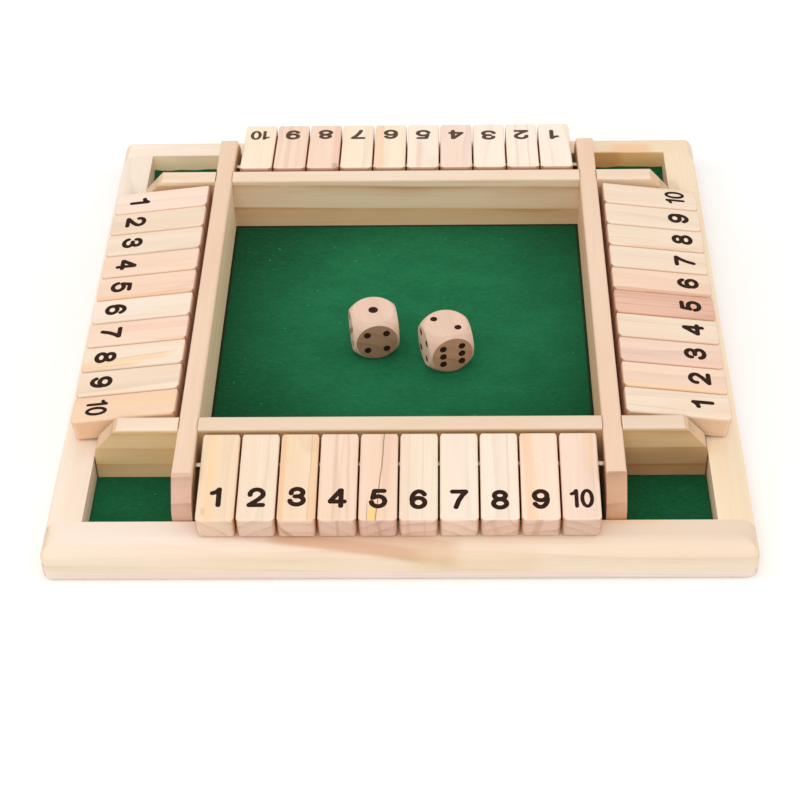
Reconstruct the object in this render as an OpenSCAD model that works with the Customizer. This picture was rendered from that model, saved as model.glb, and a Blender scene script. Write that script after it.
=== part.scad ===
// Four-player shut the box board. A framed square tray with a felt floor is
// divided by four half-lapped walls. Between each wall and the frame a row of
// ten wooden tiles hangs on a steel rod, and two dice lie in the play tray.
// Millimetres, +Z up, origin at the middle of the board's underside.

/* [Board] */
// Outside width and depth of the square board
board_w = 225; // [220:1:232]
// Radius of the board's upright corners
corner_r = 3; // [2:0.5:6]
// Radius along the outer top edge of the rails
rail_edge_r = 6; // [2:0.5:7]
// Radius along the bottom edge of the base panel
base_edge_r = 1.5; // [0.5:0.25:2.5]
// Thickness of the base panel
base_t = 4; // [3:0.5:6]
// Width of each frame rail, seen from above
rail_w = 12.4; // [10:0.2:14]
// Height of each frame rail above the base panel
rail_h = 10; // [9:0.5:11]

/* [Felt] */
// Thickness of the felt lining
felt_t = 1.7; // [1:0.1:2.5]
// Gap between the edge of the felt and the rails
felt_gap = 0.2; // [0.1:0.05:0.5]

/* [Walls] */
// Inside width of the square play tray
tray_w = 130.2; // [126:0.2:134]
// Thickness of each tray wall
wall_t = 6.4; // [5:0.2:7]
// Height of each tray wall above the felt
wall_h = 21.2; // [20:0.2:23]
// Radius along the top edges of a wall
wall_edge_r = 1; // [0.5:0.1:2]
// Gap between the end of a wall and the rail
wall_end_gap = 0.5; // [0.3:0.1:1]
// Length of the sloping cut at each end of a wall
end_cut_run = 8.2; // [5:0.2:10]
// Height of the sloping cut at each end of a wall
end_cut_drop = 9.3; // [5:0.1:12]
// Radius where the slope turns into the upright end of a wall
end_round_r = 6; // [2:0.5:6]
// Clearance on each side of a half-lap
lap_clear = 0.05; // [0.02:0.01:0.2]

/* [Rods] */
// Diameter of each hinge rod
rod_d = 2; // [1.5:0.1:2.5]
// Distance from the outer face of a wall to the middle of its rod
rod_out = 10.5; // [10.2:0.1:11.5]
// Distance from the top of a wall down to the middle of a rod
rod_drop = 5.9; // [5.5:0.1:6.2]
// Depth of the blind holes that hold the rods
socket_depth = 4.5; // [3:0.1:4.7]
// Clearance round a rod in its blind hole
socket_clear = 0.02; // [0.01:0.01:0.05]
// Gap between the end of a rod and the bottom of its blind hole
socket_end_gap = 0.2; // [0.1:0.05:0.4]

/* [Tiles] */
// Thickness of each number tile
tile_t = 8.5; // [8:0.1:9]
// Length of a tile from its rod to its inner end
tile_tail = 9.4; // [8.5:0.1:9.6]
// How far the bottom of a tile reaches over the rail
tile_rest = 7.8; // [5:0.1:8.5]
// Gap between one tile and the next
tile_gap = 0.6; // [0.3:0.05:1]
// Free space between the last tile of a row and the wall
row_end_gap = 2.1; // [1:0.1:3]
// Radius of a tile's corners, seen from above
tile_corner_r = 2; // [1.2:0.1:3]
// Radius along the edges of a tile
tile_edge_r = 1; // [0.5:0.1:1.2]
// Distance of the rod hole below the middle of the tile's thickness
bore_low = 0.4; // [0:0.1:0.8]
// Clearance round a rod in a tile
bore_clear = 0.08; // [0.04:0.01:0.1]
// Clearance between a resting tile and the rail
rest_clear = 0.1; // [0.05:0.05:0.3]

/* [Dice] */
// Width of a die across its flat faces
die_w = 16; // [14:0.5:18]
// Diameter of the sphere that rounds off a die's corners
die_round_d = 21.6; // [20:0.1:22.5]
// Distance of the outer pips from the middle of a face
pip_pitch = 3.35; // [3:0.05:4.2]
// Diameter of a pip
pip_d = 2.5; // [2:0.1:3]
// Diameter of the single pip on the face that shows one
ace_d = 3.4; // [2.5:0.1:4]
// Depth of a pip
pip_depth = 0.35; // [0.2:0.05:0.6]

/* [Hidden] */
$fn = 48;
eps = 0.01;
ROWS = ["front", "right", "rear", "left"];
TILES_PER_ROW = 10;
// Place, turn and faces of each die: the faces are top, front, left, right, rear and bottom
DIE_LEFT_AT = [-10.4, -5.2];
DIE_LEFT_TURN = 10;
DIE_LEFT_FACES = [1, 4, 5, 2, 3, 6];
DIE_RIGHT_AT = [14.9, -12.6];
DIE_RIGHT_TURN = 17;
DIE_RIGHT_FACES = [2, 6, 4, 3, 1, 5];

rail_top = base_t + rail_h;
felt_top = base_t + felt_t;
wall_top = felt_top + wall_h;
frame_in = board_w / 2 - rail_w;
wall_in = tray_w / 2;
wall_out = wall_in + wall_t;
wall_end = frame_in - wall_end_gap;
lap_z = felt_top + wall_h / 2;
rod_at = wall_out + rod_out;
rod_z = wall_top - rod_drop;
rod_l = tray_w + 2 * (socket_depth - socket_end_gap);
row_w = tray_w - 2 * row_end_gap;
tile_w = (row_w - (TILES_PER_ROW - 1) * tile_gap) / TILES_PER_ROW;
tile_pitch = tile_w + tile_gap;
tile_reach = frame_in + tile_rest - rod_at;
tile_l = tile_tail + tile_reach;
// A resting tile leans outwards until its rounded lower edge meets the rail
lean_run = tile_reach - tile_edge_r;
lean_drop = tile_t / 2 - bore_low - tile_edge_r;
lean_fall = rod_z - rail_top - rest_clear - tile_edge_r;
tile_lean = asin(lean_fall / norm([lean_run, lean_drop])) - atan(lean_drop / lean_run);

function spots(count) =
    count == 1 ? [[0, 0]] :
    count == 2 ? [[-1, 1], [1, -1]] :
    count == 3 ? concat(spots(2), spots(1)) :
    count == 4 ? [[-1, -1], [-1, 1], [1, -1], [1, 1]] :
    count == 5 ? concat(spots(4), spots(1)) :
    concat(spots(4), [[-1, 0], [1, 0]]);

// Side view of a block: flat sides, with rounded top and bottom edges
module block_section(width, height, top_r, bottom_r) {
    translate([-width / 2, bottom_r]) square([width, height - top_r - bottom_r]);
    translate([-width / 2 + bottom_r, 0]) square([width - 2 * bottom_r, height / 2]);
    translate([-width / 2 + top_r, height / 2]) square([width - 2 * top_r, height / 2]);
    for (side = [-1, 1]) {
        translate([side * (width / 2 - bottom_r), bottom_r]) circle(bottom_r);
        translate([side * (width / 2 - top_r), height - top_r]) circle(top_r);
    }
}

// A block standing on z = 0 with rounded upright corners and rounded top and bottom edges
module soft_block(width, depth, height, upright_r, top_r, bottom_r) {
    difference() {
        intersection() {
            rotate([90, 0, 0])
                translate([0, 0, -depth / 2])
                    linear_extrude(depth) block_section(width, height, top_r, bottom_r);
            rotate([90, 0, 90])
                translate([0, 0, -width / 2])
                    linear_extrude(width) block_section(depth, height, top_r, bottom_r);
        }
        for (x = [-1, 1], y = [-1, 1])
            block_corner(x, y, width, depth, upright_r)
                translate([0, 0, -1]) cube([upright_r + 1, upright_r + 1, height + 2]);
    }
    for (x = [-1, 1], y = [-1, 1])
        block_corner(x, y, width, depth, upright_r)
            intersection() {
                rotate_extrude()
                    intersection() {
                        translate([upright_r - width / 2, 0])
                            block_section(width, height, top_r, bottom_r);
                        square([upright_r, height]);
                    }
                cube([upright_r + 1, upright_r + 1, height]);
            }
}

// Moves a shape from the first quarter at the origin to one corner of a block
module block_corner(x, y, width, depth, upright_r) {
    translate([x * (width / 2 - upright_r), y * (depth / 2 - upright_r), 0])
        rotate([0, 0, x > 0 ? (y > 0 ? 0 : -90) : (y > 0 ? 90 : 180)])
            children();
}

module board_form() {
    soft_block(board_w, board_w, rail_top, corner_r, rail_edge_r, base_edge_r);
}

module base_panel() {
    color("burlywood")
        intersection() {
            board_form();
            translate([-board_w / 2, -board_w / 2, 0]) cube([board_w, board_w, base_t]);
        }
}

module felt() {
    felt_w = 2 * (frame_in - felt_gap);
    color("darkgreen")
        translate([-felt_w / 2, -felt_w / 2, base_t]) cube([felt_w, felt_w, felt_t]);
}

// The front and rear rails run the full width of the board
module cross_rail() {
    color("wheat")
        intersection() {
            board_form();
            translate([-board_w / 2, -board_w / 2, base_t]) cube([board_w, rail_w, rail_h]);
        }
}

// The left and right rails butt against the insides of the front and rear rails
module side_rail() {
    color("wheat")
        intersection() {
            board_form();
            translate([frame_in, -frame_in, base_t]) cube([rail_w, 2 * frame_in, rail_h]);
        }
}

// A wall along X, centred, with its foot on z = 0
module wall_blank() {
    intersection() {
        rotate([90, 0, 90])
            translate([0, 0, -wall_end])
                linear_extrude(2 * wall_end) wall_section();
        rotate([90, 0, 0])
            translate([0, 0, -wall_t])
                linear_extrude(2 * wall_t) wall_side_view();
    }
}

// The ends slope down from the top, and an arc leads each slope into the upright end
module wall_side_view() {
    slope_turn = atan(end_cut_run / end_cut_drop);
    tangent = end_round_r * tan(slope_turn / 2);
    slope_foot = wall_h - end_cut_drop;
    arc_x = wall_end - tangent * sin(slope_turn);
    arc_z = slope_foot + tangent * cos(slope_turn);
    polygon([
        [-wall_end, 0],
        [wall_end, 0],
        [wall_end, slope_foot - tangent],
        [arc_x, arc_z],
        [wall_end - end_cut_run, wall_h],
        [end_cut_run - wall_end, wall_h],
        [-arc_x, arc_z],
        [-wall_end, slope_foot - tangent]]);
    for (side = [-1, 1])
        translate([side * (wall_end - end_round_r), slope_foot - tangent]) circle(end_round_r);
}

module wall_section() {
    translate([-wall_t / 2, 0]) square([wall_t, wall_h - wall_edge_r]);
    translate([wall_edge_r - wall_t / 2, 0]) square([wall_t - 2 * wall_edge_r, wall_h]);
    for (side = [-1, 1])
        translate([side * (wall_t / 2 - wall_edge_r), wall_h - wall_edge_r]) circle(wall_edge_r);
}

// The two notches of the half-laps, from foot_z upwards
module lap_notches(foot_z, height) {
    notch_w = wall_t + 2 * lap_clear;
    for (side = [-1, 1])
        translate([side * (wall_in + wall_t / 2) - notch_w / 2, -wall_t, foot_z])
            cube([notch_w, 2 * wall_t, height]);
}

// The front and rear walls are notched from above
module cross_wall() {
    color("navajowhite")
        translate([0, -(wall_in + wall_t / 2), felt_top])
            difference() {
                wall_blank();
                lap_notches(lap_z - felt_top, wall_h);
                rod_sockets();
            }
}

// The left and right walls are notched from below, so their tops run through
module side_wall() {
    color("navajowhite")
        translate([wall_in + wall_t / 2, 0, felt_top])
            rotate([0, 0, 90])
                difference() {
                    wall_blank();
                    translate([0, 0, -1]) lap_notches(0, lap_z - felt_top + 1);
                    rod_sockets();
                }
}

// Blind holes in the inner face of a wall's two ends, one for each rod
module rod_sockets() {
    for (side = [-1, 1])
        translate([side * rod_at, wall_t / 2 + eps, rod_z - felt_top])
            rotate([90, 0, 0])
                cylinder(d = rod_d + 2 * socket_clear, h = socket_depth + eps);
}

// The rod of the front row
module rod() {
    color("silver")
        translate([-rod_l / 2, -rod_at, rod_z])
            rotate([0, 90, 0]) cylinder(d = rod_d, h = rod_l);
}

// A rectangle with rounded corners, centred on the origin
module rounded_rect(width, height, corner) {
    square([width - 2 * corner, height], center = true);
    square([width, height - 2 * corner], center = true);
    for (x = [-1, 1], y = [-1, 1])
        translate([x * (width / 2 - corner), y * (height / 2 - corner)]) circle(corner);
}

// A plain tile, centred, rounded as seen from above, from the side and from the end
module tile_blank() {
    intersection() {
        linear_extrude(tile_t, center = true) rounded_rect(tile_w, tile_l, tile_corner_r);
        rotate([90, 0, 90])
            linear_extrude(tile_w, center = true) rounded_rect(tile_l, tile_t, tile_edge_r);
        rotate([90, 0, 0])
            linear_extrude(tile_l, center = true) rounded_rect(tile_w, tile_t, tile_edge_r);
    }
}

// A tile of the front row at rest, leaning out on its rod with its lower edge on the rail
module tile(number) {
    color("bisque")
        translate([(number - (TILES_PER_ROW + 1) / 2) * tile_pitch, -rod_at, rod_z])
            rotate([tile_lean, 0, 0])
                difference() {
                    translate([0, (tile_tail - tile_reach) / 2, bore_low]) tile_blank();
                    rotate([0, 90, 0])
                        cylinder(d = rod_d + 2 * bore_clear, h = tile_w + 2, center = true);
                }
}

// The same shape in another row: each row is the front row turned about the board's middle
module in_row(row) {
    rotate([0, 0, 90 * search([row], ROWS)[0]]) children();
}

module die(at, turn, faces) {
    face_turns = [[0, 0, 0], [90, 0, 0], [90, 0, -90], [90, 0, 90], [90, 0, 180], [180, 0, 0]];
    color("tan")
        translate([at[0], at[1], felt_top + die_w / 2])
            rotate([0, 0, turn])
                difference() {
                    intersection() {
                        cube(die_w, center = true);
                        sphere(d = die_round_d);
                    }
                    for (face = [0:5]) rotate(face_turns[face]) pips(faces[face]);
                }
}

// The sunk pips of one face, each a shallow round dish
module pips(count) {
    width = count == 1 ? ace_d : pip_d;
    dish_r = (width * width / 4 + pip_depth * pip_depth) / (2 * pip_depth);
    for (spot = spots(count))
        translate([spot[0] * pip_pitch, spot[1] * pip_pitch, die_w / 2 - pip_depth + dish_r])
            sphere(dish_r);
}

base_panel();
felt();
cross_rail();  // rail_front
side_rail();  // rail_right
rotate([0, 0, 180]) cross_rail();  // rail_rear
rotate([0, 0, 180]) side_rail();  // rail_left
cross_wall();  // wall_front
side_wall();  // wall_right
rotate([0, 0, 180]) cross_wall();  // wall_rear
rotate([0, 0, 180]) side_wall();  // wall_left
for (row = ROWS)
    in_row(row) rod();
for (row = ROWS, number = [1:TILES_PER_ROW])
    in_row(row) tile(number);
die(DIE_LEFT_AT, DIE_LEFT_TURN, DIE_LEFT_FACES);  // die_left
die(DIE_RIGHT_AT, DIE_RIGHT_TURN, DIE_RIGHT_FACES);  // die_right
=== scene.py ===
"""Looks of a four-player shut the box board: pale pine, printed numbers, felt, steel rods and dice."""

import math

import bmesh
import bpy
from mathutils import Matrix, Vector, noise
from mathutils.geometry import delaunay_2d_cdt


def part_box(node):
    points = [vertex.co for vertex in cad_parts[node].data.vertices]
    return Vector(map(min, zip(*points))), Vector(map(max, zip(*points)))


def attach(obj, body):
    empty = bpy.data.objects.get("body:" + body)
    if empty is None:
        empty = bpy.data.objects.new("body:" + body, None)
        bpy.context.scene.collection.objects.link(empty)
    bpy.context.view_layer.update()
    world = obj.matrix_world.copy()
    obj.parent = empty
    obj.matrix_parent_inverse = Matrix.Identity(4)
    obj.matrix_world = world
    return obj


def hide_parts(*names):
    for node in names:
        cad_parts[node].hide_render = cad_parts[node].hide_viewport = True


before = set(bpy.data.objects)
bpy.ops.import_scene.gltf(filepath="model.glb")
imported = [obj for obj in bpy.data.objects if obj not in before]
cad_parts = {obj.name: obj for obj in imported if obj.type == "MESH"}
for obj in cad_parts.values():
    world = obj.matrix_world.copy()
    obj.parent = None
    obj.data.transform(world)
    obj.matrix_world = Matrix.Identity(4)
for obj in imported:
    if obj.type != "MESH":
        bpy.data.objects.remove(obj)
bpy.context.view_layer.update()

MM = 0.001  # the scene is in metres

# ------------------------------------------------------------------ the object's facts
# Rows of tiles, and the way out of the board at each
ROWS = ("front", "right", "rear", "left")
SIDES = {"front": (0, -1), "right": (1, 0), "rear": (0, 1), "left": (-1, 0)}

# Camera: the lens in the 800-pixel frame, and the place and angles from which the board is seen
FRAME_PX = 800
FOCAL_PX = 1918.0
AXIS_PX = (415.8, 387.0)
SENSOR_MM = 36
CAMERA_AT = (0.0166, -0.5218, 0.4468)
CAMERA_DOWN = 41.75
CAMERA_YAW = -1.41
CAMERA_ROLL = -1.23

# Numbers: pen widths in mm, heights as a share of the drawing, distance of each number's middle from
# the tile's outer edge in mm, and the printed film
PEN = 1.62
PEN_NARROW = 1.24
NUMBER_HEIGHT = 0.92
TEN_HEIGHT = 0.88
NUMBER_FROM_EDGE = (8.4, 8.3, 8.5, 7.9, 7.6, 7.3, 7.2, 7.0, 7.2, 7.4)
FILM_SUNK = 0.02 * MM
FILM_PROUD = 0.03 * MM
PEN_STEPS = 28

# Dice: the pips on the top, front, left, right, rear and bottom face, and the turns to these faces
DICE = {"die_left": (1, 4, 5, 2, 3, 6), "die_right": (2, 6, 4, 3, 1, 5)}
FACE_TURNS = ((0, 0), (90, 0), (90, -90), (90, 90), (90, 180), (180, 0))
PIP_PITCH = 3.35 * MM
PIP_R = 1.25 * MM
ACE_R = 1.7 * MM
PIP_DISH = 0.35 * MM
PIP_STEPS = 28
PIP_RINGS = 5
PAINT_T = 0.05 * MM
PAINT_PROUD = 0.006 * MM
PAINT_SUNK = 0.02 * MM

# Studio: the sky's strength, each soft light's place, size and power, and the floor's half width and cells
SKY = 0.8
LIGHTS = {
    "key": ((-0.15, 0.1, 1.6), 1.1, 2.6), "front": ((-0.2, -1.3, 0.9), 0.9, 5),
    "left": ((-1.3, -0.2, 0.75), 0.9, 4), "right": ((1.3, -0.2, 0.75), 0.9, 4)}
FLOOR_REACH = 8
FLOOR_CELLS = 8

# Felt: its mesh, its ripples and the edge that is turned up in the rear pockets
FELT_CELL = 1.4 * MM
FELT_RIPPLE = 0.16 * MM
FELT_WAVE = 9 * MM
FELT_FINE_WAVE = 2.3 * MM
FELT_LIP = 2.2 * MM
FELT_LIP_WIDE = 2.6 * MM
# Felt, in mm: the brightest place of its painted shade, how far from it the painted shade grows and goes
# again, and the walls' feet, where a dark line of painted shade runs
FELT_BRIGHT_AT = (8, 6, 0)
FELT_SHADE_GROWS = (35, 85)
FELT_SHADE_GOES = (105, 140)
FELT_FOOT = 65.1

# ------------------------------------------------------------------ colours, as seen in sRGB
# Light and warm wood of each tone. A side colour is painted light and shade on the side faces. It only
# tints what lies below it, so it may pass 255, where it paints light.
PINES = {
    "cream": ((238, 218, 196), (232, 203, 173)),
    "pale": ((241, 223, 204), (237, 212, 188)),
    "yellow": ((236, 210, 181), (232, 197, 157)),
    "peach": ((240, 211, 187), (234, 196, 168)),
    "pink": ((238, 206, 185), (227, 187, 165)),
    "rose": ((229, 184, 160), (211, 160, 136)),
    "die": ((226, 194, 172), (216, 178, 153)),
    "straw": ((241, 219, 190), (238, 209, 170)),
    "tan": ((233, 203, 177), (228, 191, 159)),
    "chalk": ((233, 214, 203), (228, 204, 188)),
    "bright": ((251, 235, 216), (247, 223, 200)),
    "butter": ((250, 230, 204), (246, 219, 188)),
    "shell": ((246, 221, 203), (241, 207, 184)),
    "clay": ((247, 217, 194), (239, 203, 178)),
    "blush": ((239, 211, 191), (231, 196, 173)),
}
TILE_END = (216, 183, 164)
# Painted shade on the tiles' ends that face inwards, which stand deep in the walls' shade
TILE_INNER_END_SHADE = (176, 128, 104)
FRONT_TILE_ENDS = (
    (226, 197, 173), (219, 189, 169), (225, 191, 168), (216, 183, 164), (212, 175, 160),
    (224, 187, 169), (228, 197, 175), (220, 183, 161), (218, 184, 165), (211, 181, 161))
# The colour of the painted shade at the foot of the dice's ends
END_FOOT_SHADE = (44, 28, 16)
# Painted shade on the tiles' side faces, deepest in the front and rear rows, whose sides show only in the
# shaded gaps
TILE_SIDE_SHADES = {
    "front": (224, 188, 158), "right": (248, 234, 218), "rear": (224, 188, 158), "left": (250, 242, 232)}
RAIL_END = (228, 200, 172)
WALL_END = (214, 176, 138)
WALL_LINE = (190, 136, 84)
DIE_ENDS = {"die_left": (158, 119, 88), "die_right": (188, 138, 102)}
# Painted shade on the dice's ends near their foot: how dark, and from and to which height
DIE_FOOT_SHADE = {"die_left": (0.68, -6.5, 4.0), "die_right": (0.72, -8.0, 1.0)}
FLECK = (150, 104, 70)
FELT_DARK = (17, 97, 58)
FELT_LIGHT = (28, 116, 73)
FELT_SHADE = (8, 74, 42)
FELT_FOOT_SHADE = (28, 30, 8)
LINT = (88, 170, 128)
DARKENED = (0.62, 0.62, 0.62, 1)  # a share of the light, not a colour
# The second ink, for the rear row, is lighter as painted glare that washes out its numbers
INKS = {"fresh": ((42, 22, 14), (62, 40, 28)), "painted_glare": ((84, 62, 48), (104, 80, 64))}
STEEL = (205, 190, 172)
STEEL_DARK = (172, 164, 156)
FLOOR = (250, 250, 248)
FLOOR_DIM = (248, 248, 246)

# The tone of each tile from 1 to 10, and the steps between the seeds of their grain
TILE_SEED = 7.3
ROW_SEED = 91.7
TONES = {
    "front": "yellow cream yellow peach peach cream pale pale clay blush",
    "right": "cream peach pink cream rose peach cream cream cream cream",
    # The rear row gets the brighter tones as painted light, making up for the light its rear-leaning tops miss
    "rear": "bright bright bright shell bright butter butter clay clay butter",
    "left": "shell cream cream peach peach pale peach cream cream peach",
}

# Bands of other colours along the grain. Each is its middle across the piece, half its width, its lean,
# where it starts and ends along the piece, its colour, its strength and, where it has one, its fall:
# how far across it moves for each mm upwards. Lengths are in mm in the piece's own frame. FULL is
# the whole length of a tile.
FULL = (-30, 20)
GOLD = (240, 200, 118)
HONEY = (240, 200, 148)
AMBER = (234, 178, 128)
CARAMEL = (232, 190, 148)
BLUSH = (232, 186, 160)
DUSK = (212, 180, 156)
CRACK = (132, 84, 58)
LINE = (206, 160, 130)
END_BROWN = (178, 140, 114)
TILE_MARKS = {
    ("front", 1): ((-2.4, 1.9, 0.0, *FULL, HONEY, 0.55), (-3.7, 0.8, 0.0, -15, -12.5, DUSK, 0.7)),
    ("front", 2): ((2.6, 0.5, 0.02, *FULL, DUSK, 0.22),),
    ("front", 3): ((-5.0, 1.0, 0.0, *FULL, AMBER, 0.55), (4.6, 1.4, 0.01, *FULL, AMBER, 0.4),
                   (3.7, 0.25, 0.01, *FULL, LINE, 0.5)),
    ("front", 4): ((-1.1, 0.7, 0.01, *FULL, DUSK, 0.5), (3.0, 0.6, -0.01, *FULL, DUSK, 0.45),
                   (0.8, 0.4, 0.02, *FULL, DUSK, 0.3)),
    ("front", 5): ((-1.9, 1.9, 0.0, -30, -11.5, GOLD, 0.9), (0.5, 0.28, 0.066, *FULL, CRACK, 0.7),
                   (-3.3, 0.22, 0.0, -30, -11, CRACK, 0.55), (2.6, 1.0, 0.05, -4, 20, BLUSH, 0.5)),
    ("front", 6): ((1.2, 0.3, 0.0, *FULL, DUSK, 0.3), (-3.2, 0.4, 0.01, *FULL, DUSK, 0.2)),
    ("front", 8): ((2.7, 0.5, 0.0, *FULL, DUSK, 0.35),),
    ("front", 9): ((-3.4, 1.9, -0.02, *FULL, AMBER, 0.4), (-1.6, 0.5, -0.03, *FULL, HONEY, 0.5)),
    ("front", 10): ((3.2, 1.8, 0.0, 2, 20, HONEY, 0.35),),
    ("left", 4): ((-5.2, 0.4, 0.0, -6, 20, LINE, 0.4),),
    ("left", 5): ((5.4, 0.8, 0.0, *FULL, AMBER, 0.5), (0.6, 0.2, 0.02, -4, 20, LINE, 0.3)),
    ("left", 7): ((-1.4, 2.2, 0.0, -7, 20, BLUSH, 0.4), (5.5, 0.4, 0.0, 6, 20, AMBER, 0.5)),
    ("left", 8): ((2.4, 1.6, -0.05, -30, 12, HONEY, 0.7), (4.6, 0.9, -0.03, -30, 2, AMBER, 0.5),
                  (1.0, 0.3, -0.06, -6, 14, LINE, 0.6)),
    ("left", 10): ((0, 15, 0.0, *FULL, CARAMEL, 0.4), (-1.8, 2.6, 0.0, -2, 20, HONEY, 0.4)),
    ("right", 1): ((-3.4, 0.25, 0.03, 0, 20, LINE, 0.5), (2.2, 0.3, -0.03, -8, 20, LINE, 0.3)),
    ("right", 2): ((-5.4, 0.7, 0.0, *FULL, HONEY, 0.6),),
    ("right", 3): ((-3.4, 1.8, 0.0, -30, -6, BLUSH, 0.6), (-2.6, 0.3, 0.0, 4, 20, LINE, 0.4)),
    ("right", 5): ((-1.6, 0.25, 0.01, *FULL, CRACK, 0.3), (1.6, 0.25, 0.0, *FULL, CRACK, 0.3),
                   (4.0, 0.5, 0.0, *FULL, LINE, 0.5), (0.2, 0.2, 0.02, -12, 12, CRACK, 0.25)),
    ("right", 6): ((-5.5, 0.6, 0.0, *FULL, LINE, 0.7),),
    ("right", 8): ((-5.4, 0.4, 0.0, -12, 12, AMBER, 0.6), (-2.0, 0.3, 0.02, 0, 20, LINE, 0.3)),
    ("rear", 2): ((-2.4, 0.5, 0.0, *FULL, LINE, 0.3), (2.0, 0.7, 0.0, *FULL, BLUSH, 0.4)),
    ("rear", 5): ((1.6, 1.2, 0.0, -4, 20, BLUSH, 0.4),),
    ("rear", 6): ((4.2, 2.4, 0.0, *FULL, AMBER, 0.4),),
    ("rear", 8): ((-4.6, 1.8, 0.0, *FULL, BLUSH, 0.5), (-4.6, 1.3, 0.0, 14, 20, CRACK, 0.4)),
    ("rear", 9): ((1.2, 1.2, 0.0, *FULL, DUSK, 0.4), (-2.6, 1.0, 0.0, *FULL, DUSK, 0.2)),
}
# Streaks in the outer ends of single tiles
END_MARKS = {
    ("front", 3): ((-8.4, 1.3, 0.0, *FULL, END_BROWN, 0.75, -0.82),),
    ("front", 4): ((0.2, 0.7, 0.0, *FULL, END_BROWN, 0.5), (5.0, 0.8, 0.0, *FULL, END_BROWN, 0.6, -0.35)),
    ("front", 5): ((0.1, 0.8, 0.0, *FULL, END_BROWN, 0.55, -0.1),),
    ("front", 6): ((-3.2, 0.9, 0.0, *FULL, END_BROWN, 0.3), (2.0, 0.5, 0.0, *FULL, END_BROWN, 0.25)),
    ("front", 8): (
        (-3.0, 1.3, 0.0, *FULL, END_BROWN, 0.3, -0.32), (2.7, 0.5, 0.0, *FULL, END_BROWN, 0.5, -0.69)),
    ("front", 9): ((-0.4, 1.6, 0.0, *FULL, END_BROWN, 0.5, 0.2),),
}
BOARD_MARKS = {
    "rail_front": (
        (0.6, 7.4, 0.165, -66, 18, (212, 173, 142), 0.75, 0.75),  # brown wedge
        (3.4, 3.2, 0.165, -60, 8, (200, 150, 114), 0.5, 0.75),  # its dark edge
        (-7, 14, 0.0, 14, 130, (216, 191, 168), 0.55),  # duller right part
        (-7, 14, 0.0, -110, -40, (240, 223, 213), 0.5),  # rosy left part
        (6.2, 2.4, 0.0, 4, 44, (226, 194, 156), 0.35),
        (-6.4, 2.4, 0.0, 64, 82, (236, 188, 132), 0.5)),
    "rail_rear": (
        (0, 30, 0.0, 58, 130, (222, 191, 143), 0.5),  # golden right part
        (3.6, 4.6, 0.0, 80, 95, AMBER, 0.5),
        (6.6, 1.3, 0.0, 68, 101, (224, 178, 108), 0.5),  # deep gold inside the pocket
        (6.6, 1.3, 0.0, 71, 83, (200, 140, 66), 0.5)),
    "wall_front": (
        # The next two marks are painted shade on the front wall's right wing, darker towards its foot
        (0, 30, 0.0, 66, 120, (184, 150, 128), 0.25),  # darker right wing
        (9, 9, 0.0, 66, 120, (146, 98, 62), 0.5, 1.0),  # its brown foot
        (0, 30, 0.0, -70, 70, (214, 184, 154), 0.45)),
    # Painted shade: more orange and darker towards the foot of the rear wall's inner face
    "wall_rear": ((11.2, 7, 0.0, -85, 85, (204, 150, 88), 0.4, 1.0),),
}

# Timber of the board's pieces: tone, place in the log, end and side colours, as wood() takes them.
# The side colours are painted light and shade on the side faces.
RAIL_ALONG_X = dict(pith=(8, -60), ring=7.5, taper=0.02, wander=4, depth=0.35, end=RAIL_END)
RAIL_ALONG_Y = dict(pith=(-9, -50), ring=5.5, wander=4, depth=0.5, end=RAIL_END)
WALL_ALONG_X = dict(tone="cream", wander=1.2, depth=0.95, line=WALL_LINE, end=WALL_END)
WALL_ALONG_Y = dict(tone="tan", pith=(5, -45), ring=7.0, wander=2, depth=0.4)
TIMBER = {
    "rail_front": dict(RAIL_ALONG_X, tone="cream", seed=216, side=(248, 249, 246)),
    # The rear rail's bright tone and its side tint above 255 are painted light, on its top and its inner face
    "rail_rear": dict(RAIL_ALONG_X, tone="bright", seed=215, side=(270, 266, 246)),
    "rail_left": dict(RAIL_ALONG_Y, tone="pale", seed=405),
    "rail_right": dict(RAIL_ALONG_Y, tone="straw", seed=406),
    "wall_front": dict(WALL_ALONG_X, pith=(4, -73.6), ring=7.0, taper=0.004, seed=312, side=(241, 231, 196)),
    "wall_rear": dict(WALL_ALONG_X, pith=(4, -72.6), ring=10.2, taper=0.01, seed=311, side=(255, 252, 240)),
    # The left wall's side tint passes 255: painted light on its inner face
    "wall_left": dict(WALL_ALONG_Y, seed=507, end=(210, 167, 143), side=(264, 270, 256)),
    "wall_right": dict(WALL_ALONG_Y, seed=508, end=(198, 148, 112), side=(255, 243, 226)),
    "base_panel": dict(tone="chalk", pith=(0, -300), ring=1.35, wander=0.3, depth=0.4, seed=601),
}
# Long pieces that lie along Y. The others lie along X.
ALONG_Y = ("rail_left", "rail_right", "wall_left", "wall_right", "rod_left", "rod_right")


def darker(colour, share):
    """The same colour with each channel cut to a share."""
    return tuple(c * share for c in colour)


def linear(colour):
    """A colour given as seen, 0 to 255 a channel, as the light value that a shader takes."""
    channels = [c / 255 for c in colour]
    return (*[c / 12.92 if c < 0.04045 else ((c + 0.055) / 1.055) ** 2.4 for c in channels], 1)


# ------------------------------------------------------------------ shader helpers
def node(tree, kind, *values, **settings):
    """Adds a shader node. Each value is a constant, or another node's output, for its sockets in order."""
    new = tree.nodes.new("ShaderNode" + kind)
    for name, setting in settings.items():
        setattr(new, name, setting)
    for socket, value in zip(new.inputs, values):
        if isinstance(value, bpy.types.NodeSocket):
            tree.links.new(value, socket)
        elif value is not None:
            socket.default_value = value
    return new.outputs[0]


def math_node(tree, operation, a, b=None, c=None):
    """Adds a Math node."""
    return node(tree, "Math", a, b, c, operation=operation)


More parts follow.
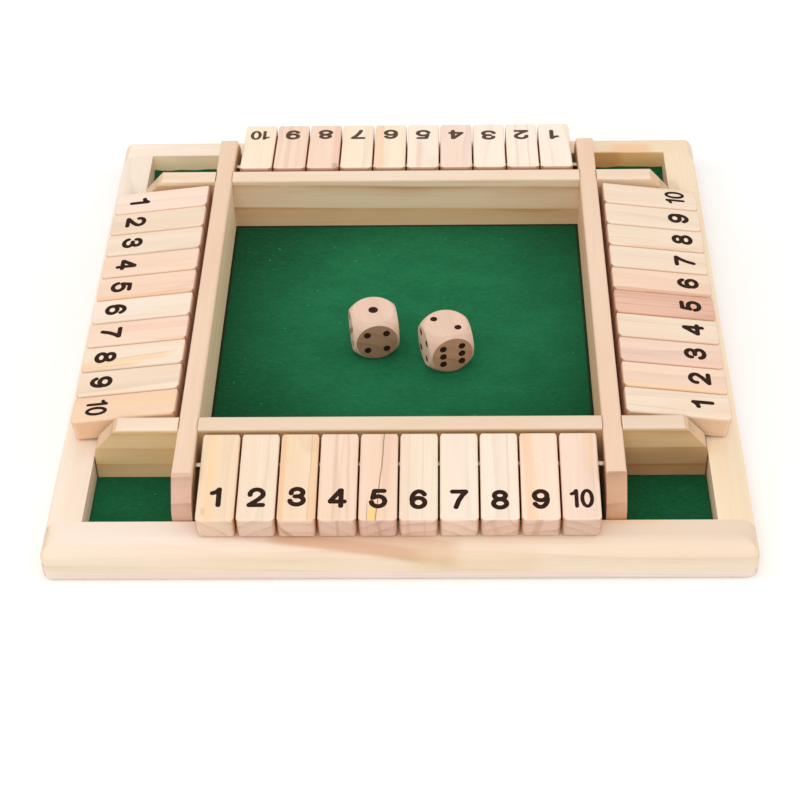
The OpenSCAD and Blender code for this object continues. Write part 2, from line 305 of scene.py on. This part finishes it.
def mix(tree, factor, a, b, blend="MIX"):
    """Mixes two colours, each a constant or an output."""
    new = tree.nodes.new("ShaderNodeMix")
    new.data_type = "RGBA"
    new.blend_type = blend
    for socket, value in ((new.inputs[0], factor), (new.inputs[6], a), (new.inputs[7], b)):
        if isinstance(value, bpy.types.NodeSocket):
            tree.links.new(value, socket)
        else:
            socket.default_value = value
    return new.outputs[2]


def axis(tree, vector, index):
    """One of a vector's three axes."""
    return node(tree, "SeparateXYZ", vector).node.outputs[index]


def ramp(tree, value, stops):
    """A grey ramp through (position, level) stops."""
    new = tree.nodes.new("ShaderNodeValToRGB")
    band = new.color_ramp
    while len(band.elements) < len(stops):
        band.elements.new(0.5)
    for element, (place, level) in zip(band.elements, stops):
        element.position = place
        element.color = (level, level, level, 1)
    tree.links.new(value, new.inputs[0])
    return new.outputs[0]


def blob(tree, place, stretch, seed, detail=2.0, roughness=0.5):
    """Noise of mean 0.5 at a place in mm, with one scale for each axis."""
    scaled = node(tree, "VectorMath", place, stretch, operation="MULTIPLY")
    moved = node(tree, "VectorMath", scaled, (seed, seed * 0.7, seed * 1.3), operation="ADD")
    return node(tree, "TexNoise", moved, None, 1.0, detail, roughness)


def smooth_step(tree, value, low, high, start=0.0, end=1.0):
    """Goes smoothly from start to end as the value goes from low to high."""
    return node(tree, "MapRange", value, low, high, start, end, interpolation_type="SMOOTHSTEP")


def bump(tree, strength, depth, relief):
    """A normal that is tilted by a relief of the given depth."""
    return node(tree, "Bump", strength, depth, None, relief)


def surface(name):
    """A new material with its tree and its Principled shader."""
    material = bpy.data.materials.new(name)
    material.use_nodes = True
    tree = material.node_tree
    return material, tree, tree.nodes["Principled BSDF"]


def own_place(tree, placed):
    """Coordinates in mm in a piece's own frame, which stays with the piece as it moves, and its normal."""
    coordinates = tree.nodes.new("ShaderNodeTexCoord")
    return node(
        tree, "Mapping", coordinates.outputs["Object"], tuple(placed.to_translation()),
        tuple(placed.to_euler()), (MM, MM, MM), vector_type="TEXTURE"), coordinates.outputs["Normal"]


# ------------------------------------------------------------------ materials
# Noise scales per mm, across the piece, along its grain and upwards
RING_BEND = (0.05, 0.012, 0.05)
RING_STRENGTH = (0.11, 0.02, 0.11)
BROAD_ZONES = (0.13, 0.012, 0.13)
FINE_FIBRES = (2.4, 0.045, 2.4)
COARSE_FIBRES = (0.8, 0.02, 0.8)
RARE_FLECKS = (1.5, 0.5, 1.5)
END_PORES = (2.6, 0.3, 2.6)
BAND_WAVE = (0.02, 0.11, 0.02)
# From one growth ring to the next: light early wood that darkens slowly and ends at a sharp late line
RING_LEVELS = ((0.0, 0.12), (0.06, 0.0), (0.45, 0.12), (0.8, 0.5), (0.96, 1.0), (1.0, 0.2))


def wood(
        name, tone, placed, pith=(4, -30), ring=6.0, taper=0.015, wander=2.5, depth=0.5, seed=0.0, marks=(),
        line=None, end=TILE_END, inner_end_shade=None, side=None, cut_from=0.5, end_marks=(), foot=None):
    """Pale pine whose grain runs along the piece's own Y. Growth rings are shells round a pith line
    at (x, z) mm, ring mm apart. They lean by taper, wander by up to that many mm and show as deep as
    depth, in the colour of line. Marks are bands of another colour along the grain, and end_marks are
    streaks in the end grain. The side faces may have a tint of their own, which is painted light and
    shade: darker and warmer for shade, above 255 for light. The ends that face inwards along the grain
    may get a colour of painted shade, and foot (share, low, high) is painted shade that darkens the ends
    to that share from z = high down to low mm. A face shows end grain where its normal lies along the
    grain by more than cut_from."""
    material, tree, shader = surface(name)
    light, warm = (linear(c) for c in PINES[tone])
    late_wood = linear(line or darker(PINES[tone][1], 0.84))
    place, normal = own_place(tree, placed)

    # Growth rings
    bend = blob(tree, place, RING_BEND, seed, detail=1.0)
    flat = node(tree, "VectorMath", place, (-pith[0], 0, -pith[1]), operation="ADD")
    flat = node(tree, "VectorMath", flat, (1, 0, 1), operation="MULTIPLY")
    radius = node(tree, "VectorMath", flat, operation="LENGTH").node.outputs["Value"]
    radius = math_node(tree, "MULTIPLY_ADD", axis(tree, place, 1), taper, radius)
    radius = math_node(tree, "MULTIPLY_ADD", bend, 2 * wander, radius)
    phase = math_node(tree, "FRACT", math_node(tree, "DIVIDE", radius, ring))
    late = ramp(tree, phase, RING_LEVELS)
    strength = blob(tree, place, RING_STRENGTH, seed + 5)
    late = math_node(tree, "MULTIPLY", late, smooth_step(tree, strength, 0.35, 0.7, 0.35, 1.0))

    # Broad warm and pale zones, fine fibres and rare flecks
    zone = smooth_step(tree, blob(tree, place, BROAD_ZONES, seed + 11), 0.36, 0.66)
    fibre = blob(tree, place, FINE_FIBRES, seed + 17, detail=3.0, roughness=0.65)
    coarse = blob(tree, place, COARSE_FIBRES, seed + 23)
    fleck = smooth_step(tree, blob(tree, place, RARE_FLECKS, seed + 29, detail=1.0), 0.77, 0.83)
    colour = mix(tree, math_node(tree, "MULTIPLY", zone, 0.5), light, warm)
    colour = mix(tree, math_node(tree, "MULTIPLY", late, depth), colour, late_wood)
    colour = mix(tree, smooth_step(tree, coarse, 0.35, 0.7, 0.0, 0.22), colour, warm)
    colour = mix(tree, smooth_step(tree, fibre, 0.3, 0.75, 0.0, 0.13), colour, late_wood)
    colour = mix(tree, math_node(tree, "MULTIPLY", fleck, 0.3), colour, linear(FLECK))
    for mark in marks:
        colour = stripe(tree, place, colour, *mark)
    # Painted light and shade on the side faces: darker and warmer for shade, brighter where the tint passes
    # 255
    if side:
        upward = math_node(tree, "ABSOLUTE", axis(tree, normal, 2))
        colour = mix(tree, smooth_step(tree, upward, 0.1, 0.6, 1.0, 0.0), colour, linear(side), "MULTIPLY")

    # End grain is darker and pinker, with soft rings and pores
    grain = placed.to_3x3() @ Vector((0, 1, 0))
    facing = node(tree, "VectorMath", normal, tuple(grain), operation="DOT_PRODUCT").node.outputs["Value"]
    cut = smooth_step(tree, math_node(tree, "ABSOLUTE", facing), cut_from, 0.5 + 0.5 * cut_from)
    pores = blob(tree, place, END_PORES, seed + 31, detail=3.0, roughness=0.7)
    end_ring = linear(darker(end, 0.78))
    end_colour = mix(tree, math_node(tree, "MULTIPLY", late, 0.9), linear(end), end_ring)
    end_colour = mix(tree, smooth_step(tree, pores, 0.4, 0.75, 0.0, 0.25), end_colour, end_ring)
    for mark in end_marks:
        end_colour = stripe(tree, place, end_colour, *mark)
    # Painted shade: the ends darken towards their foot
    if foot:
        share, low, high = foot
        lit = smooth_step(tree, axis(tree, place, 2), low, high, share, 1.0)
        end_colour = mix(tree, lit, linear(END_FOOT_SHADE), end_colour)
    # Painted shade on the ends that face inwards along the grain
    if inner_end_shade:
        end_colour = mix(tree, smooth_step(tree, facing, 0.0, 0.1), end_colour, linear(inner_end_shade))
    colour = mix(tree, math_node(tree, "MULTIPLY", cut, 0.85), colour, end_colour)

    tree.links.new(colour, shader.inputs["Base Color"])
    tree.links.new(smooth_step(tree, fibre, 0.2, 0.8, 0.5, 0.66), shader.inputs["Roughness"])
    shader.inputs["IOR"].default_value = 1.42
    relief = math_node(tree, "MULTIPLY_ADD", late, 0.6, fibre)
    tree.links.new(bump(tree, 0.3, 0.02 * MM, relief), shader.inputs["Normal"])
    return material


def stripe(tree, place, colour, centre, half_width, lean, start, end, other, strength, fall=0.0):
    """Adds a band of another colour along the grain, centre mm across at y = 0, from y = start to end.
    It moves across by lean mm for each mm along and by fall mm for each mm upwards."""
    x, y, z = node(tree, "SeparateXYZ", place).node.outputs
    wave = blob(tree, place, BAND_WAVE, centre * 3.1, detail=1.0)
    across = math_node(tree, "MULTIPLY_ADD", y, -lean, x)
    if fall:
        across = math_node(tree, "MULTIPLY_ADD", z, -fall, across)
    across = math_node(tree, "SUBTRACT", across, centre)
    across = math_node(tree, "MULTIPLY_ADD", wave, 0.8, across)
    across = math_node(tree, "ABSOLUTE", math_node(tree, "SUBTRACT", across, 0.4))
    beside = smooth_step(tree, across, half_width * 0.45, half_width, 1.0, 0.0)
    fade = min(4, (end - start) / 5)
    low = smooth_step(tree, y, start - fade, start + fade)
    high = smooth_step(tree, y, end - fade, end + fade, 1.0, 0.0)
    amount = math_node(tree, "MULTIPLY", math_node(tree, "MULTIPLY", beside, low), high)
    return mix(tree, math_node(tree, "MULTIPLY", amount, strength), colour, linear(other))


def felt_material():
    """Pressed green felt: mottled, with short fibres and a little lint. Painted shade leaves it brightest
    near its middle, and a dark line of painted shade runs along the feet of the walls."""
    material, tree, shader = surface("green_felt")
    place, _ = own_place(tree, Matrix.Identity(4))
    mottle = blob(tree, place, (0.05, 0.08, 0.09), 3.0, detail=4.0, roughness=0.62)
    grain = blob(tree, place, (1.9, 1.9, 1.9), 9.0, detail=4.0, roughness=0.7)
    strokes = blob(tree, place, (0.42, 1.4, 1.0), 14.0, detail=3.0, roughness=0.7)
    strokes.node.inputs["Distortion"].default_value = 0.7
    lint = smooth_step(tree, blob(tree, place, (0.5, 0.62, 0.6), 21.0, detail=3.0), 0.71, 0.76)
    # Painted shade: darker away from the brightest place, and less dark again far out in the pockets
    away = node(tree, "VectorMath", place, FELT_BRIGHT_AT, operation="DISTANCE").node.outputs["Value"]
    shade = math_node(
        tree, "MULTIPLY", smooth_step(tree, away, *FELT_SHADE_GROWS, 0.0, 0.95),
        smooth_step(tree, away, *FELT_SHADE_GOES, 1.0, 0.4))
    colour = mix(tree, smooth_step(tree, mottle, 0.3, 0.7, 0.25, 0.8), linear(FELT_DARK), linear(FELT_LIGHT))
    colour = mix(tree, shade, colour, linear(FELT_SHADE))
    colour = mix(tree, smooth_step(tree, grain, 0.35, 0.7, 0.0, 0.35), colour, DARKENED, "MULTIPLY")
    colour = mix(tree, smooth_step(tree, strokes, 0.5, 0.68, 0.0, 0.4), colour, DARKENED, "MULTIPLY")
    colour = mix(tree, smooth_step(tree, strokes, 0.5, 0.3, 0.0, 0.07), colour, linear(LINT))
    colour = mix(tree, math_node(tree, "MULTIPLY", lint, 0.4), colour, linear(LINT))
    # Painted shade: a dark line where the felt meets the feet of the walls
    outward = math_node(
        tree, "MAXIMUM", *(math_node(tree, "ABSOLUTE", axis(tree, place, index)) for index in range(2)))
    from_foot = math_node(tree, "ABSOLUTE", math_node(tree, "SUBTRACT", outward, FELT_FOOT))
    foot = smooth_step(tree, from_foot, 0.6, 1.4, 0.8, 0.0)
    colour = mix(tree, foot, colour, linear(FELT_FOOT_SHADE))
    tree.links.new(colour, shader.inputs["Base Color"])
    tree.links.new(smooth_step(tree, grain, 0.3, 0.7, 0.86, 0.98), shader.inputs["Roughness"])
    shader.inputs["Sheen Weight"].default_value = 0.03
    shader.inputs["Sheen Roughness"].default_value = 0.6
    shader.inputs["Specular IOR Level"].default_value = 0.08
    tree.links.new(bump(tree, 0.6, 0.12 * MM, math_node(tree, "ADD", grain, strokes)), shader.inputs["Normal"])
    return material


def ink_material(name, dark, worn):
    """Brown paint with worn patches."""
    material, tree, shader = surface(name)
    place, _ = own_place(tree, Matrix.Identity(4))
    patch = blob(tree, place, (0.9, 0.9, 0.9), 4.0, detail=4.0, roughness=0.6)
    colour = mix(tree, smooth_step(tree, patch, 0.35, 0.75, 0.0, 0.6), linear(dark), linear(worn))
    tree.links.new(colour, shader.inputs["Base Color"])
    tree.links.new(smooth_step(tree, patch, 0.3, 0.7, 0.6, 0.8), shader.inputs["Roughness"])
    shader.inputs["Specular IOR Level"].default_value = 0.1
    return material


def steel_material(placed):
    """Drawn steel wire with fine rings from its grinding."""
    material, tree, shader = surface("rod_steel_wire")
    place, _ = own_place(tree, placed)
    rings = blob(tree, place, (0.4, 5.0, 0.4), 2.0, detail=3.0)
    colour = mix(tree, smooth_step(tree, rings, 0.35, 0.7), linear(STEEL), linear(STEEL_DARK))
    tree.links.new(colour, shader.inputs["Base Color"])
    tree.links.new(smooth_step(tree, rings, 0.3, 0.7, 0.24, 0.4), shader.inputs["Roughness"])
    shader.inputs["Metallic"].default_value = 1.0
    return material


def floor_material():
    """Seamless white paper."""
    material, tree, shader = surface("studio_paper")
    place, _ = own_place(tree, Matrix.Identity(4))
    cloud = blob(tree, place, (0.003, 0.003, 0.003), 6.0)
    colour = mix(tree, smooth_step(tree, cloud, 0.3, 0.7), linear(FLOOR), linear(FLOOR_DIM))
    tree.links.new(colour, shader.inputs["Base Color"])
    shader.inputs["Roughness"].default_value = 0.9
    return material


# ------------------------------------------------------------------ places taken from the frame
def middle(name):
    """The middle of a node's box."""
    low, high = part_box(name)
    return (low + high) / 2


def flat_face(name, up):
    """The biggest flat face of a node that looks towards up: the way out of it, and its corners."""
    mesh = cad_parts[name].data
    best = max(mesh.polygons, key=lambda p: p.area * max(p.normal.dot(up), 0) ** 4)
    out = best.normal.copy()
    corners = [mesh.vertices[i].co for p in mesh.polygons if p.normal.dot(out) > 0.9999 for i in p.vertices]
    return out, corners


def tile_frame(row, number):
    """A tile's own frame, with its origin at the middle of its flat top, Y inwards along the grain and Z
    out of the top, and half the top's length."""
    name = f"{row}_tile_{number}"
    out, corners = flat_face(name, Vector((0, 0, 1)))
    side = SIDES[row]
    inward = Vector((-side[0], -side[1], 0))
    along = (inward - out * inward.dot(out)).normalized()
    across = along.cross(out)
    turn = Matrix((across, along, out)).transposed()
    local = [turn.transposed() @ c for c in corners]
    centre = Vector([(min(c[i] for c in local) + max(c[i] for c in local)) / 2 for i in range(3)])
    half_length = (max(c.y for c in local) - min(c.y for c in local)) / 2
    return Matrix.Translation(turn @ centre) @ turn.to_4x4(), half_length


def die_frame(name):
    """A die's own frame: origin at its middle, turned as it lies."""
    out, _ = flat_face(name, Vector((0, -1, 0)))
    turn = math.atan2(out.x, -out.y)
    return Matrix.Translation(middle(name)) @ Matrix.Rotation(turn, 4, "Z")


def long_frame(name):
    """A frame at a node's middle whose own Y runs along the node's length."""
    placed = Matrix.Translation(middle(name))
    return placed if name in ALONG_Y else placed @ Matrix.Rotation(math.radians(-90), 4, "Z")


# ------------------------------------------------------------------ number outlines, in mm
def arc(x, y, rx, ry, start, end, steps=14):
    """Points along an arc round (x, y), from start to end in degrees."""
    turns = [math.radians(start + (end - start) * i / steps) for i in range(steps + 1)]
    return [(x + rx * math.cos(t), y + ry * math.sin(t)) for t in turns]


SIX = [arc(0, -1.4, 1.95, 1.95, 90, 270), arc(0, -1.4, 1.95, 1.95, -90, 90),
       arc(0.1, -0.05, 2.15, 3.4, 185, 38)]
ONE = [[(-1.2, 1.75), (-0.35, 2.05), (0.3, 2.55), (0.85, 3.35)], [(0.9, 3.35), (0.9, -3.35)]]
DIGITS = {
    1: ONE,
    2: [arc(0.05, 1.35, 2.05, 2.0, 188, -22) + [(0.7, -0.9), (-2.05, -3.2)],
        [(-2.1, -3.3), (2.15, -3.3)]],
    3: [arc(0, 1.72, 1.85, 1.63, 190, -90), arc(0, -1.58, 2.1, 1.77, 90, -176),
        [(-0.55, 0.12), (0.2, 0.12)]],
    4: [[(1.15, 3.3), (1.15, -3.35)], [(0.85, 3.25), (-2.15, -1.3)], [(-2.15, -1.5), (2.2, -1.5)]],
    5: [[(1.85, 3.3), (-1.1, 3.3)], [(-1.15, 3.2), (-1.65, 0.3)],
        [(-1.65, 0.3)] + arc(0.05, -1.15, 2.1, 2.15, 125, -172)],
    6: SIX,
    7: [[(-2.1, 3.3), (2.0, 3.3)], [(2.05, 3.2), (0.9, 1.6), (-0.2, -0.6), (-1.0, -3.3)]],
    8: [arc(0, 1.8, 1.72, 1.5, 90, 270), arc(0, 1.8, 1.72, 1.5, -90, 90),
        arc(0, -1.6, 2.02, 1.75, 90, 270), arc(0, -1.6, 2.02, 1.75, -90, 90)],
    9: [[(-x, -y) for x, y in path] for path in SIX],
    10: [[(-3.0, 2.0), (-2.4, 2.25), (-2.0, 2.7), (-1.6, 3.45)], [(-1.55, 3.45), (-1.55, -3.5)],
         arc(1.75, 0, 1.5, 3.5, 90, 270, 24), arc(1.75, 0, 1.5, 3.5, -90, 90, 24)],
}


def ribbon(path, half):
    """The anticlockwise outline of a flat pen stroke along a path, without its round ends."""
    points = [Vector(p) for p in path]
    sides = []
    for i, point in enumerate(points):
        before = (point - points[i - 1]).normalized() if i else None
        after = (points[i + 1] - point).normalized() if i + 1 < len(points) else None
        ways = [w for w in (before, after) if w is not None]
        way = sum(ways, Vector((0, 0))).normalized()
        reach = half / max(way.dot(ways[0]), 0.5)
        sides.append(Vector((-way.y, way.x)) * reach)
    return [p - s for p, s in zip(points, sides)] + [p + s for p, s in zip(points, sides)][::-1]


def put_in_order(mesh):
    """Sorts a mesh's parts by place, because Blender's extrude leaves them in another order each run."""
    def sort(parts, key):
        ranks = {part: rank for rank, part in enumerate(sorted(parts, key=key))}
        parts.sort(key=ranks.get)
        parts.index_update()

    sort(mesh.verts, lambda vert: vert.co[:])
    for parts in (mesh.edges, mesh.faces):
        sort(parts, lambda part: sorted(vert.index for vert in part.verts))


def number_mesh(name, paths, pen):
    """A thin printed film: the union of pen strokes with round ends, closed on all sides."""
    corners, rings = [], []
    for path in paths:
        ends = [arc(x, y, pen / 2, pen / 2, 0, 360, PEN_STEPS)[:-1] for x, y in (path[0], path[-1])]
        for outline in [ribbon(path, pen / 2), *ends]:
            rings.append(list(range(len(corners), len(corners) + len(outline))))
            corners += [Vector(p) for p in outline]
    points, _, faces, _, _, sources = delaunay_2d_cdt(corners, [], rings, 1, 1e-5)
    mesh = bmesh.new()
    verts = [mesh.verts.new((p.x * MM, p.y * MM, -FILM_SUNK)) for p in points]
    for face, source in zip(faces, sources):
        if source:
            mesh.faces.new([verts[i] for i in face])
    bmesh.ops.delete(mesh, geom=[v for v in mesh.verts if not v.link_faces], context="VERTS")
    raised = bmesh.ops.extrude_face_region(mesh, geom=mesh.faces[:], use_keep_orig=True)["geom"]
    up = (0, 0, FILM_SUNK + FILM_PROUD)
    bmesh.ops.translate(mesh, verts=[g for g in raised if isinstance(g, bmesh.types.BMVert)], vec=up)
    bmesh.ops.recalc_face_normals(mesh, faces=mesh.faces)
    put_in_order(mesh)
    data = bpy.data.meshes.new(name)
    mesh.to_mesh(data)
    mesh.free()
    return data


# ------------------------------------------------------------------ pieces
def add_piece(name, data, body, material):
    """Puts a new piece into the scene, riding on a body."""
    piece = bpy.data.objects.new(name, data)
    bpy.context.scene.collection.objects.link(piece)
    data.materials.append(material)
    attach(piece, body)
    return piece


def number_pieces(inks):
    """The printed number on each tile, with one ink for each row."""
    for number, from_edge in enumerate(NUMBER_FROM_EDGE, 1):
        pen, height = (PEN_NARROW, TEN_HEIGHT) if number == 10 else (PEN, NUMBER_HEIGHT)
        flat = number_mesh(
            f"number_{number}", [[(x, y * height) for x, y in path] for path in DIGITS[number]], pen)
        for row in ROWS:
            placed, half_length = tile_frame(row, number)
            data = flat.copy()
            data.transform(placed @ Matrix.Translation((0, from_edge * MM - half_length, 0)))
            add_piece(f"{row}_number_{number}", data, f"{row}_tile_{number}", inks[row])
        bpy.data.meshes.remove(flat)


def spots(count):
    """The places of a face's pips, in steps of the pip pitch."""
    table = {1: [(0, 0)], 2: [(-1, 1), (1, -1)], 4: [(-1, -1), (-1, 1), (1, -1), (1, 1)]}
    table[3] = table[2] + table[1]
    table[5] = table[4] + table[1]
    table[6] = table[4] + [(-1, 0), (1, 0)]
    return table[count]


def add_paint(mesh, placed, radius):
    """A lens of paint in a pip's dish: a shallow bowl over one that lies just inside the wood."""
    for depth, lift in ((PIP_DISH - PAINT_T, PAINT_PROUD), (PIP_DISH + PAINT_T, -PAINT_SUNK)):
        levels = []
        for ring in range(PIP_RINGS + 1):
            share = ring / PIP_RINGS
            z = lift - depth * (1 - share * share)
            loop = [(math.cos(a) * radius * share, math.sin(a) * radius * share, z)
                    for a in (2 * math.pi * i / PIP_STEPS for i in range(PIP_STEPS if ring else 1))]
            levels.append([mesh.verts.new(placed @ Vector(p)) for p in loop])
        for inner, outer in zip(levels, levels[1:]):
            for i in range(PIP_STEPS):
                j = (i + 1) % PIP_STEPS
                if len(inner) == 1:
                    mesh.faces.new((inner[0], outer[i], outer[j]))
                else:
                    mesh.faces.new((inner[i], outer[i], outer[j], inner[j]))
        if lift > 0:
            rim = levels[-1]
        else:
            for i in range(PIP_STEPS):
                j = (i + 1) % PIP_STEPS
                mesh.faces.new((rim[i], rim[j], levels[-1][j], levels[-1][i]))


def pip_pieces(ink):
    """The painted pips of each die."""
    for die, counts in DICE.items():
        placed = die_frame(die)
        low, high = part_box(die)
        half = (high.z - low.z) / 2
        mesh = bmesh.new()
        for count, turn in zip(counts, FACE_TURNS):
            face = placed @ face_turn(*turn)
            radius = ACE_R if count == 1 else PIP_R
            for x, y in spots(count):
                add_paint(mesh, face @ Matrix.Translation((x * PIP_PITCH, y * PIP_PITCH, half)), radius)
        bmesh.ops.recalc_face_normals(mesh, faces=mesh.faces)
        data = bpy.data.meshes.new(f"{die}_pips")
        mesh.to_mesh(data)
        mesh.free()
        data.shade_smooth()
        add_piece(f"{die}_pips", data, die, ink)


def face_turn(about_x, about_z):
    """Turns about X and then about Z, in degrees."""
    return Matrix.Rotation(math.radians(about_z), 4, "Z") @ Matrix.Rotation(math.radians(about_x), 4, "X")


def felt_piece(material):
    """The felt lining: a soft uneven sheet in the place of its plain solid. Its edge is turned up a
    little against the rear rail in the two rear pockets."""
    low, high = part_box("felt")
    width = high.x - low.x
    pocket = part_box("wall_right")[1].x
    cells = round(width / FELT_CELL)
    mesh = bmesh.new()
    bmesh.ops.create_grid(mesh, x_segments=cells, y_segments=cells, size=width / 2)
    for vert in mesh.verts:
        place = vert.co / FELT_WAVE
        fine = vert.co / FELT_FINE_WAVE
        dip = 0.6 * noise.noise(place) + 0.4 * noise.noise(fine)
        vert.co.z = high.z - FELT_RIPPLE * (0.5 + 0.5 * dip)
        near = max(0, vert.co.y - high.y + FELT_LIP_WIDE) / FELT_LIP_WIDE
        if abs(vert.co.x) > pocket:
            vert.co.z += FELT_LIP * near ** 1.5 * (0.8 + 0.4 * noise.noise(place))
    rim = [e for e in mesh.edges if e.is_boundary]
    lowered = bmesh.ops.extrude_edge_only(mesh, edges=rim)["geom"]
    for vert in (g for g in lowered if isinstance(g, bmesh.types.BMVert)):
        vert.co.z = low.z
    bmesh.ops.contextual_create(mesh, geom=[g for g in lowered if isinstance(g, bmesh.types.BMEdge)])
    bmesh.ops.recalc_face_normals(mesh, faces=mesh.faces)
    put_in_order(mesh)
    data = bpy.data.meshes.new("felt_lining")
    mesh.to_mesh(data)
    mesh.free()
    piece = add_piece("felt_lining", data, "board", material)
    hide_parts("felt")


def dress(name, material):
    """Gives a CAD node its material."""
    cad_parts[name].material_slots[0].material = material


def dress_tiles():
    """Gives each tile timber from its own place in the log, which its seed sets."""
    for turn, row in enumerate(ROWS):
        for number, tone in enumerate(TONES[row].split(), 1):
            seed = TILE_SEED * number + ROW_SEED * turn
            spread = math.sin(seed * 1.7)
            placed, _ = tile_frame(row, number)
            dress(f"{row}_tile_{number}", wood(
                f"pine_{row}_{number}", tone, placed, pith=(16 * math.sin(seed * 2.3), -18 - 14 * abs(spread)),
                ring=5.2 + 1.6 * spread, taper=0.03 * math.sin(seed * 3.1), depth=0.36, seed=seed,
                marks=TILE_MARKS.get((row, number), ()), end_marks=END_MARKS.get((row, number), ()),
                end=FRONT_TILE_ENDS[number - 1] if row == "front" else TILE_END, inner_end_shade=TILE_INNER_END_SHADE,
                side=TILE_SIDE_SHADES[row]))


def dress_board():
    """Gives the rails, walls, base panel, rods and dice their materials."""
    for name, timber in TIMBER.items():
        material = "ply_panel" if name == "base_panel" else f"pine_{name}"
        dress(name, wood(material, placed=long_frame(name), marks=BOARD_MARKS.get(name, ()), **timber))
    for row in ROWS:
        name = f"rod_{row}"
        dress(name, steel_material(long_frame(name)))
    for turn, die in enumerate(DICE):
        dress(die, wood(
            f"pine_{die}", "die", die_frame(die), pith=(-12, -22), ring=5.0, wander=1.5, seed=701 + 9 * turn,
            depth=0.4, end=DIE_ENDS[die], cut_from=0.94, foot=DIE_FOOT_SHADE[die]))


# ------------------------------------------------------------------ studio
def soft_light(name, place, size, power):
    """A round soft light that looks at the board."""
    lamp = bpy.data.lights.new(name, "AREA")
    lamp.shape = "DISK"
    lamp.size = size
    lamp.energy = power
    light = bpy.data.objects.new(name, lamp)
    bpy.context.scene.collection.objects.link(light)
    light.location = place
    light.rotation_euler = (-Vector(place)).to_track_quat("-Z", "Y").to_euler()


def studio():
    """A white floor, an even white sky, and weak soft lights from above, the front, the left and the right."""
    scene = bpy.context.scene
    scene.view_settings.view_transform = "Standard"
    world = bpy.data.worlds.new("studio_sky")
    world.use_nodes = True
    world.node_tree.nodes["Background"].inputs["Color"].default_value = (1, 1, 1, 1)
    world.node_tree.nodes["Background"].inputs["Strength"].default_value = SKY
    scene.world = world

    mesh = bmesh.new()
    bmesh.ops.create_grid(mesh, x_segments=FLOOR_CELLS, y_segments=FLOOR_CELLS, size=FLOOR_REACH)
    data = bpy.data.meshes.new("floor")
    mesh.to_mesh(data)
    mesh.free()
    floor = bpy.data.objects.new("floor", data)
    scene.collection.objects.link(floor)
    data.materials.append(floor_material())

    for name, settings in LIGHTS.items():
        soft_light(name, *settings)


def camera():
    """The camera at the place from which the board was seen."""
    data = bpy.data.cameras.new("camera")
    data.sensor_width = SENSOR_MM
    data.lens = FOCAL_PX / FRAME_PX * SENSOR_MM
    data.shift_x = (FRAME_PX / 2 - AXIS_PX[0]) / FRAME_PX
    data.shift_y = (AXIS_PX[1] - FRAME_PX / 2) / FRAME_PX
    eye = bpy.data.objects.new("camera", data)
    bpy.context.scene.collection.objects.link(eye)
    turn = (
        Matrix.Rotation(math.radians(-CAMERA_YAW), 4, "Z")
        @ Matrix.Rotation(math.radians(90 - CAMERA_DOWN), 4, "X")
        @ Matrix.Rotation(math.radians(CAMERA_ROLL), 4, "Z"))
    eye.matrix_world = Matrix.Translation(CAMERA_AT) @ turn
    bpy.context.scene.camera = eye


camera()
studio()
ink = ink_material("number_ink", *INKS["fresh"])
# Lighter ink of painted glare for the rear row's numbers
painted_glare = ink_material("number_ink_painted_glare", *INKS["painted_glare"])
dress_board()
dress_tiles()
felt_piece(felt_material())
number_pieces({row: painted_glare if row == "rear" else ink for row in ROWS})
pip_pieces(ink)
